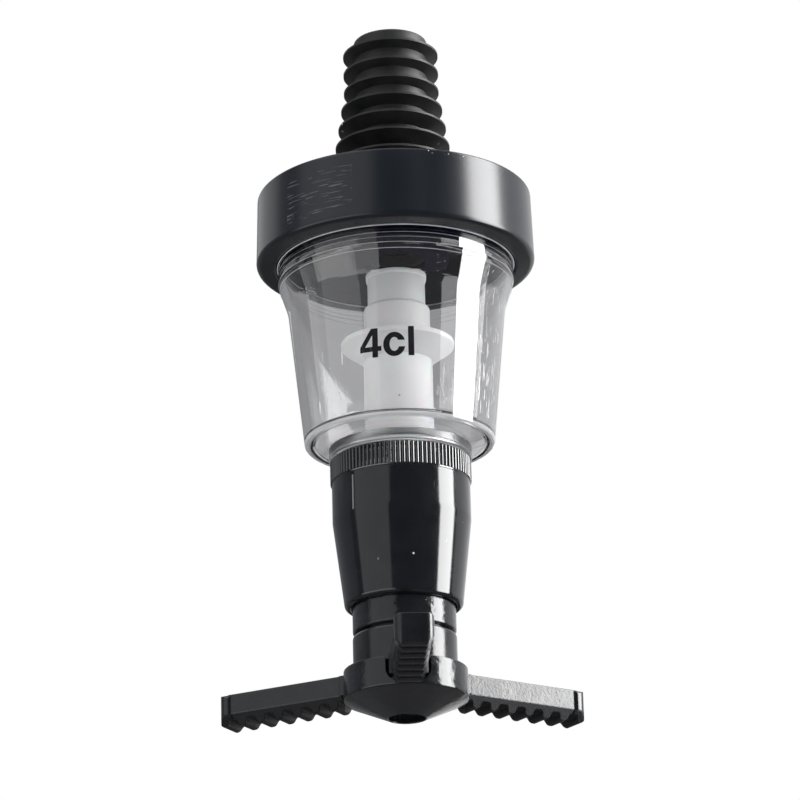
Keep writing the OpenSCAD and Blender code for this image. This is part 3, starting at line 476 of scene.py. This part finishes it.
def springTree():
    tree, sizes = newTree("coilTree", springSizes)
    lastPoint = int((springSizes["Open turns"] + 2) * springMesh["stepsPerTurn"])
    line = addNode(tree, "GeometryNodeMeshLine", (-1000, 200))
    line.inputs["Count"].default_value = lastPoint + 1
    curve = addNode(tree, "GeometryNodeMeshToCurve", (-800, 200))
    index = addNode(tree, "GeometryNodeInputIndex", (-1200, -200)).outputs[0]
    turns = calc(tree, "ADD", sizes["Open turns"], 2.0)  # a closed turn at each end
    turn = calc(tree, "MULTIPLY", calc(tree, "DIVIDE", index, float(lastPoint)), turns)
    angle = calc(tree, "MULTIPLY", turn, 2 * math.pi)
    whole = calc(tree, "SUBTRACT", sizes["High height"], sizes["Low height"])
    span = calc(tree, "SUBTRACT", whole, calc(tree, "MULTIPLY", sizes["Wire radius"], 2.0))
    openSpan = calc(tree, "SUBTRACT", span, calc(tree, "MULTIPLY", sizes["End pitch"], 2.0))
    lowTurn = calc(tree, "MINIMUM", turn, 1.0)
    topTurn = calc(tree, "MAXIMUM", calc(tree, "SUBTRACT", turn, calc(tree, "SUBTRACT", turns, 1.0)), 0.0)
    midTurn = calc(tree, "SUBTRACT", calc(tree, "SUBTRACT", turn, lowTurn), topTurn)
    endRise = calc(tree, "MULTIPLY", calc(tree, "ADD", lowTurn, topTurn), sizes["End pitch"])
    openRise = calc(tree, "MULTIPLY", calc(tree, "DIVIDE", midTurn, sizes["Open turns"]), openSpan)
    rise = calc(tree, "ADD", endRise, openRise)
    height = calc(tree, "ADD", calc(tree, "ADD", rise, sizes["Low height"]), sizes["Wire radius"])
    point = addNode(tree, "ShaderNodeCombineXYZ", (-400, -100))
    for axis, operation in (("X", "COSINE"), ("Y", "SINE")):
        out = calc(tree, "MULTIPLY", calc(tree, operation, angle), sizes["Mean radius"])
        tree.links.new(out, point.inputs[axis])
    tree.links.new(height, point.inputs["Z"])
    place = addNode(tree, "GeometryNodeSetPosition", (-200, 200))
    wire = addNode(tree, "GeometryNodeCurvePrimitiveCircle", (-200, -300))
    wire.inputs["Resolution"].default_value = springMesh["wireSides"]
    tree.links.new(sizes["Wire radius"], wire.inputs["Radius"])
    sweep = addNode(tree, "GeometryNodeCurveToMesh", (200, 200))
    sweep.inputs["Fill Caps"].default_value = True
    tree.links.new(line.outputs["Mesh"], curve.inputs["Mesh"])
    tree.links.new(curve.outputs["Curve"], place.inputs["Geometry"])
    tree.links.new(point.outputs[0], place.inputs["Position"])
    tree.links.new(place.outputs["Geometry"], sweep.inputs["Curve"])
    tree.links.new(wire.outputs["Curve"], sweep.inputs["Profile Curve"])
    return endTree(tree, sweep.outputs["Mesh"], "springSteel")


coilSeed = bpy.data.meshes.new("coilSeed")
coil = applied("returnCoil", coilSeed, springTree(), springSizes, "springSteel", "measure")
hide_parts("return_spring")
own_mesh(coil)
print("return coil made:", len(coil.data.polygons), "faces")


# knurled ring

ringLow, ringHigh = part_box("knurled_ring")
ringShape = {"bore": 11.65 * mm, "fluteDepth": 0.34 * mm, "chamfer": 0.1 * mm, "rim": 0.3 * mm, "steps": 128,
             "ribSides": 8, "sharpAngle": 60}
ringSizes = {"Rib count": 96, "Rib radius": 0.42 * mm, "Crest radius": ringHigh.x,
             "Low height": ringLow.z + ringShape["rim"], "High height": ringHigh.z - ringShape["rim"]}


def ringBody():
    bore, chamfer = ringShape["bore"], ringShape["chamfer"]
    core = ringHigh.x - ringShape["fluteDepth"]
    corners = [(bore, ringLow.z), (core - chamfer, ringLow.z), (core, ringLow.z + chamfer),
               (core, ringHigh.z - chamfer), (core - chamfer, ringHigh.z), (bore, ringHigh.z)]
    return turnedMesh("ringBody", corners, ringShape["steps"])


def ribTree():
    tree, sizes = newTree("ribTree", ringSizes)
    tall = calc(tree, "SUBTRACT", sizes["High height"], sizes["Low height"])
    middle = calc(tree, "DIVIDE", calc(tree, "ADD", sizes["High height"], sizes["Low height"]), 2.0)
    reach = calc(tree, "SUBTRACT", sizes["Crest radius"], sizes["Rib radius"])
    circle = addNode(tree, "GeometryNodeMeshCircle", (-800, 200))
    tree.links.new(sizes["Rib count"], circle.inputs["Vertices"])
    tree.links.new(reach, circle.inputs["Radius"])
    rib = addNode(tree, "GeometryNodeMeshCylinder", (-800, -200), fill_type="TRIANGLE_FAN")
    rib.inputs["Vertices"].default_value = ringShape["ribSides"]
    tree.links.new(sizes["Rib radius"], rib.inputs["Radius"])
    tree.links.new(tall, rib.inputs["Depth"])
    turn = addNode(tree, "ShaderNodeCombineXYZ", (-500, -100))
    index = addNode(tree, "GeometryNodeInputIndex", (-1200, -300)).outputs[0]
    share = calc(tree, "DIVIDE", index, sizes["Rib count"])
    tree.links.new(calc(tree, "MULTIPLY", share, 2 * math.pi), turn.inputs["Z"])
    place = addNode(tree, "GeometryNodeInstanceOnPoints", (-300, 100))
    rise = addNode(tree, "ShaderNodeCombineXYZ", (-300, -200))
    lift = addNode(tree, "GeometryNodeTransform", (0, 100))
    whole = addNode(tree, "GeometryNodeJoinGeometry", (300, 100))
    tree.links.new(circle.outputs[0], place.inputs["Points"])
    tree.links.new(rib.outputs["Mesh"], place.inputs["Instance"])
    tree.links.new(turn.outputs[0], place.inputs["Rotation"])
    tree.links.new(middle, rise.inputs["Z"])
    tree.links.new(place.outputs[0], lift.inputs["Geometry"])
    tree.links.new(rise.outputs[0], lift.inputs["Translation"])
    tree.links.new(lift.outputs[0], whole.inputs[0])
    tree.links.new(sizes["Geometry"], whole.inputs[0])
    return endTree(tree, whole.outputs[0], "ringPlastic")


fluted = applied("flutedRing", ringBody(), ribTree(), ringSizes, "ringPlastic", "measure")
fluted.data.set_sharp_from_angle(angle=math.radians(ringShape["sharpAngle"]))
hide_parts("knurled_ring")
print("knurled ring made:", len(fluted.data.polygons), "faces")


# fine lines on the bowl: painted highlight rings, and one painted shade ring at the foot

bowlLines = {  # name: mean radius, height and wire radius in millimetres, finish
    # painted highlight rings: the lip ring stands only for light on the lip; the thread and shoulder rings
    # are also ridges of the bowl, painted pale as their highlights
    "lipLine": (24.36, -15.1, 0.11, "bowlHighlightLine"),
    "threadLineTop": (24.13, -16.6, 0.05, "bowlHighlightLine"),
    "threadLineLow": (24.13, -17.6, 0.04, "bowlHighlightLine"),
    "shoulderLine": (24.13, -18.72, 0.06, "bowlHighlightLine"),
    "shoulderLineLow": (23.86, -19.9, 0.04, "bowlHighlightLine"),
    # a painted shade ring: the dark violet line at the top of the foot
    "footLine": (19.3, -52.8, 0.07, "bowlShade"),
    # a painted highlight ring at the foot's edge
    "footLineLow": (18.75, -53.72, 0.06, "bowlHighlightLine"),
}
lineMesh = {"sides": 6, "steps": 160}


def lineRing(name, radius, height, wire, finish):
    angles = [2 * math.pi * k / lineMesh["sides"] for k in range(lineMesh["sides"])]
    corners = [((radius + wire * math.cos(t)) * mm, (height + wire * math.sin(t)) * mm) for t in angles]
    piece = addMesh(name, turnedMesh(name, corners, lineMesh["steps"]), finish)
    smoothed(piece)
    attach(piece, "measure")


for name, line in bowlLines.items():
    lineRing(name, *line)
print("bowl lines made:", len(bowlLines))


# capacity mark

mark = {"low": -41.76 * mm, "left": -8.58 * mm, "lift": 0.03 * mm, "rise": 0.02, "strips": 24}
bowlWall = {"top": (-24.6 * mm, 22.3 * mm), "foot": (-53.15 * mm, 19.3 * mm)}  # height and outer radius


def ringPart(middle, radius, start, end, steps=22):
    turns = [math.radians(start + (end - start) * k / steps) for k in range(steps + 1)]
    return [(middle[0] + radius[0] * math.cos(t), middle[1] + radius[1] * math.sin(t)) for t in turns]


markShapes = [  # the figure and its hole, then the two letters, in millimetres
    [(2.54, 0), (3.70, 0), (3.70, 1.26), (4.39, 1.26), (4.39, 2.25), (3.70, 2.25), (3.70, 5.95), (2.30, 5.95),
     (0, 2.35), (0, 1.26), (2.54, 1.26)],
    [(2.54, 2.25), (1.05, 2.25), (2.54, 4.60)],
    ringPart((7.0, 2.44), (2.24, 2.5), 17.9, 347.4) + ringPart((7.0, 2.44), (0.95, 1.42), 337.3, 32.7),
    [(9.78, 0.02), (10.97, 0.02), (10.97, 6.02), (9.78, 6.02)],
]


def bowlRadius(height):  # outer wall between the shoulder and the foot
    top, foot = bowlWall["top"], bowlWall["foot"]
    share = (height - top[0]) / (foot[0] - top[0])
    return top[1] + (foot[1] - top[1]) * share


def flatMark():
    curve = bpy.data.curves.new("markOutline", "CURVE")
    curve.dimensions = "2D"
    curve.fill_mode = "BOTH"
    for corners in markShapes:
        spline = curve.splines.new("POLY")
        spline.points.add(len(corners) - 1)
        for point, (x, y) in zip(spline.points, corners):
            point.co = (x, y, 0, 1)
        spline.use_cyclic_u = True
    holder = bpy.data.objects.new("markOutline", curve)
    scene.collection.objects.link(holder)
    return plainMesh(holder)


def wrappedMark():
    mesh = flatMark()
    shape = bmesh.new()
    shape.from_mesh(mesh)
    xs = [v.co.x for v in shape.verts]
    for k in range(1, mark["strips"]):  # cut into strips so that it can bend
        place = min(xs) + (max(xs) - min(xs)) * k / mark["strips"]
        bmesh.ops.bisect_plane(shape, geom=shape.verts[:] + shape.edges[:] + shape.faces[:],
                               plane_co=(place, 0, 0), plane_no=(1, 0, 0))
    for v in shape.verts:
        across = mark["left"] + v.co.x * mm
        height = mark["low"] + v.co.y * mm + mark["rise"] * across
        radius = bowlRadius(height) + mark["lift"]
        turn = across / radius
        v.co = Vector((radius * math.sin(turn), -radius * math.cos(turn), height))
    bmesh.ops.recalc_face_normals(shape, faces=shape.faces[:])
    if shape.faces[0].normal.y > 0:
        bmesh.ops.reverse_faces(shape, faces=shape.faces[:])
    shape.to_mesh(mesh)
    shape.free()
    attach(addMesh("capacityMark", mesh, "markInk"), "measure")


wrappedMark()
print("capacity mark made")


# camera, at the photo's angle; angles in degrees

cameraPlace = {"turn": -2.6, "distance": 771.4 * mm, "height": -317.2 * mm, "pitch": 19.51, "yaw": 0.016,
               "roll": -1.45, "lens": 180.82, "sensor": 36, "near": 0.05, "far": 20}


def placeCamera():
    turn, yaw, pitch, roll = (math.radians(cameraPlace[key]) for key in ("turn", "yaw", "pitch", "roll"))
    heading = turn - yaw
    distance = cameraPlace["distance"]
    place = Vector((distance * math.sin(turn), -distance * math.cos(turn), cameraPlace["height"]))
    level = Vector((-math.sin(heading), math.cos(heading), 0))
    ahead = level * math.cos(pitch) + Vector((0, 0, math.sin(pitch)))
    right = Vector((math.cos(heading), math.sin(heading), 0))
    up = right.cross(ahead)
    tiltedRight = right * math.cos(roll) + up * math.sin(roll)
    tiltedUp = up * math.cos(roll) - right * math.sin(roll)
    turnMatrix = Matrix((tiltedRight, tiltedUp, -ahead)).transposed()
    lens = bpy.data.cameras.new("photoCamera")
    lens.lens = cameraPlace["lens"]
    lens.sensor_width = cameraPlace["sensor"]
    lens.clip_start = cameraPlace["near"]
    lens.clip_end = cameraPlace["far"]
    camera = bpy.data.objects.new("photoCamera", lens)
    camera.matrix_world = Matrix.Translation(place) @ turnMatrix.to_4x4()
    scene.collection.objects.link(camera)
    scene.camera = camera


placeCamera()


# studio

studio = {"world": 0.62, "glossWorld": 0.1, "glossTint": (0.9, 0.98, 1.18, 1), "seen": 0.34, "seenSide": 0.08,
          "aim": (0, 0, -0.05)}
floorLook = {"colour": (0.82, 0.82, 0.82, 1), "rough": 0.9, "glow": 0.8, "size": 6, "height": -0.9,
             "mirror": 0.25, "mirrorFar": 0.05, "fadeStart": 1.4, "fadeEnd": 2.6}
# start and end azimuth counted from the camera's side to the right, elevation (degrees), distance and height
# (metres), radiance, whether it lights, whether it is mirrored
panels = {
    "rightBox": (66, 96, 14, 1.2, 1.62, 17.5, False, True),
    "rightFill": (50, 110, 22, 1.2, 1.3, 4.0, True, False),
    "leftCard": (-82, -20.5, 20, 1.2, 1.4, 0.76, False, True),
    "leftLow": (-86, -17, -15, 1.1, 0.5, 1.75, False, True),
    "leftFill": (-110, -40, 10, 1.2, 1.4, 1.3, True, False),
    "backRight": (103, 178, 20, 1.6, 3.0, 0.88, False, True),
    "backLeft": (-178, -94, 20, 1.6, 3.0, 0.14, False, True),
    "backHigh": (-160, -116, 32, 1.6, 0.7, 0.55, False, True),
    "softTop": (-60, 20, 62, 1.3, 1.2, 1.2, True, True),
}


def mirrorShare(tree, rays):  # 1 for reflections, 0 for what is seen through the bowl
    straight = calc(tree, "SUBTRACT", 1.0, rays.outputs["Is Transmission Ray"], (-600, 500))
    return calc(tree, "MULTIPLY", rays.outputs["Is Glossy Ray"], straight, (-400, 500))


def seenShare(tree, rays):  # 1 for what is seen through the bowl, and not for what lights it
    first = calc(tree, "LESS_THAN", rays.outputs["Diffuse Depth"], 0.5, (-600, 700))
    return calc(tree, "MULTIPLY", first, rays.outputs["Is Transmission Ray"], (-400, 700))


def seenStrength(tree):  # backdrop behind the bowl, darker to the left
    way = axesOf(tree, addNode(tree, "ShaderNodeTexCoord", (-1600, 700)).outputs["Generated"], (-1400, 700))
    return calc(tree, "MULTIPLY_ADD", way[0], studio["seenSide"], (-1200, 800), studio["seen"])


def glowing(tree, kind, strength, at, colour=(1, 1, 1, 1)):
    shade = addNode(tree, kind, at)
    shade.inputs["Color"].default_value = colour
    feed(tree, strength, shade.inputs["Strength"])
    return shade.outputs[0]


def makeWorld():
    world = bpy.data.worlds.new("paleStudio")
    scene.world = world
    world.use_nodes = True
    tree = world.node_tree
    tree.nodes.clear()
    rays = addNode(tree, "ShaderNodeLightPath", (-800, 300))
    kind = "ShaderNodeBackground"
    last = glowing(tree, kind, studio["world"], (-500, 0))
    seen = glowing(tree, kind, seenStrength(tree), (-500, -150))
    mirrored = glowing(tree, kind, studio["glossWorld"], (-500, -300), studio["glossTint"])
    backdrop = glowing(tree, kind, 1.0, (-500, -450))
    last = mixShaders(tree, seenShare(tree, rays), last, seen, (-200, 0))
    last = mixShaders(tree, mirrorShare(tree, rays), last, mirrored, (0, 0))
    last = mixShaders(tree, rays.outputs["Is Camera Ray"], last, backdrop, (200, 0))
    out = addNode(tree, "ShaderNodeOutputWorld", (500, 100))
    tree.links.new(last, out.inputs["Surface"])


def makeFloor():
    size = floorLook["size"]
    corners = [(x * size, y * size, floorLook["height"]) for x, y in ((-1, -1), (1, -1), (1, 1), (-1, 1))]
    mesh = bpy.data.meshes.new("paleFloor")
    mesh.from_pydata(corners, [], [(0, 1, 2, 3)])
    material = bpy.data.materials.new("floorPaint")
    material.use_nodes = True
    tree = material.node_tree
    shader = tree.nodes["Principled BSDF"]
    setInputs(shader, {"Base Color": floorLook["colour"], "Roughness": floorLook["rough"]})
    rays = addNode(tree, "ShaderNodeLightPath", (-600, 300))
    away = addNode(tree, "ShaderNodeVectorMath", (-600, -200), operation="LENGTH")
    tree.links.new(addNode(tree, "ShaderNodeTexCoord", (-800, -200)).outputs["Object"], away.inputs[0])
    fade = spread(tree, away.outputs["Value"], floorLook["mirror"], floorLook["mirrorFar"], (-300, -200),
                  floorLook["fadeStart"], floorLook["fadeEnd"])
    kind = "ShaderNodeEmission"
    lit = glowing(tree, kind, 1.0, (-300, 200))
    mirrored = glowing(tree, kind, fade, (200, -100))
    seen = glowing(tree, kind, studio["seen"], (200, -300))
    share = calc(tree, "MULTIPLY", rays.outputs["Is Camera Ray"], floorLook["glow"], (-100, 400))
    last = mixShaders(tree, share, shader.outputs[0], lit, (200, 200))
    last = mixShaders(tree, mirrorShare(tree, rays), last, mirrored, (450, 100))
    last = mixShaders(tree, seenShare(tree, rays), last, seen, (650, 100))
    tree.links.new(last, tree.nodes["Material Output"].inputs["Surface"])
    mesh.materials.append(material)
    floor = bpy.data.objects.new("paleFloor", mesh)
    scene.collection.objects.link(floor)


def addPanel(name, start, end, elevation, distance, height, radiance, lights, mirrored):
    width = 2 * distance * math.tan(math.radians(end - start) / 2)
    turn = math.radians((start + end) / 2 + cameraPlace["turn"])
    rise = math.radians(elevation)
    way = Vector((math.sin(turn) * math.cos(rise), -math.cos(turn) * math.cos(rise), math.sin(rise)))
    light = bpy.data.lights.new(name, "AREA")
    light.shape = "RECTANGLE"
    light.size = width
    light.size_y = height
    light.energy = radiance * math.pi * width * height
    if lights:  # not seen in the bowl, only by what they light
        light.use_nodes = True
        tree = light.node_tree
        rays = addNode(tree, "ShaderNodeLightPath", (-600, 0))
        unseen = calc(tree, "SUBTRACT", 1.0, seenShare(tree, rays))
        tree.links.new(unseen, tree.nodes["Emission"].inputs["Strength"])
    panel = bpy.data.objects.new(name, light)
    panel.rotation_mode = "QUATERNION"
    panel.rotation_quaternion = way.to_track_quat("Z", "Y")
    panel.location = Vector(studio["aim"]) + way * distance
    panel.visible_camera = False
    panel.visible_diffuse = lights
    panel.visible_transmission = lights
    panel.visible_glossy = mirrored
    scene.collection.objects.link(panel)


makeWorld()
makeFloor()
for name, panel in panels.items():
    addPanel(name, *panel)
scene.view_settings.view_transform = "Standard"
print("camera and studio set")
